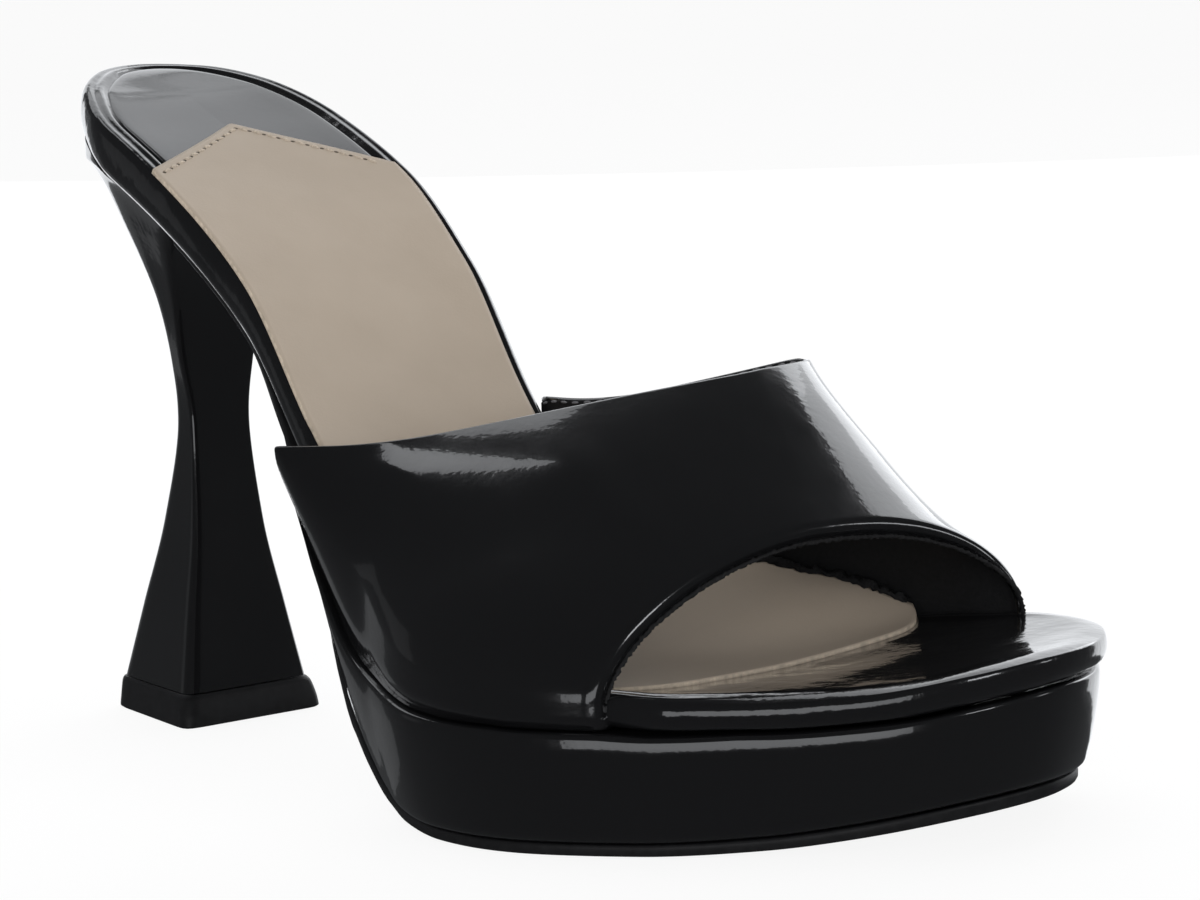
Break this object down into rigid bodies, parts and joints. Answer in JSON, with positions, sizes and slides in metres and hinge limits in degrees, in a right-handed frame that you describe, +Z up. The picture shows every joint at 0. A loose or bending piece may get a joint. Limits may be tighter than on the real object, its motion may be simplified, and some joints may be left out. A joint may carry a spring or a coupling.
{
  "type": "high-heeled platform mule",
  "caption": "Right-foot platform mule in black patent leather: a wide open-toe band over the instep, a taupe sock on the footbed and a high waisted heel that flares to the floor.",
  "frame": {"origin": "middle of the shoe's box in plan, on the floor it stands on", "axes": "+Z up, the toe towards -Y, the outer side of the foot towards -X"},
  "size_m": [0.0982, 0.2114, 0.1207],
  "materials": {
    "patent": "black patent leather, high gloss, over board and foam",
    "sock": "smooth taupe lining leather, matte",
    "rubber": "black moulded rubber, matte"
  },
  "bodies": {
    "root": {"upper": "patent", "insole": "patent", "platform": "patent", "heel_block": "patent", "heel_sock": "patent", "sock_lining": "sock", "outsole": "rubber", "top_piece": "rubber"}
  },
  "joints": []
}
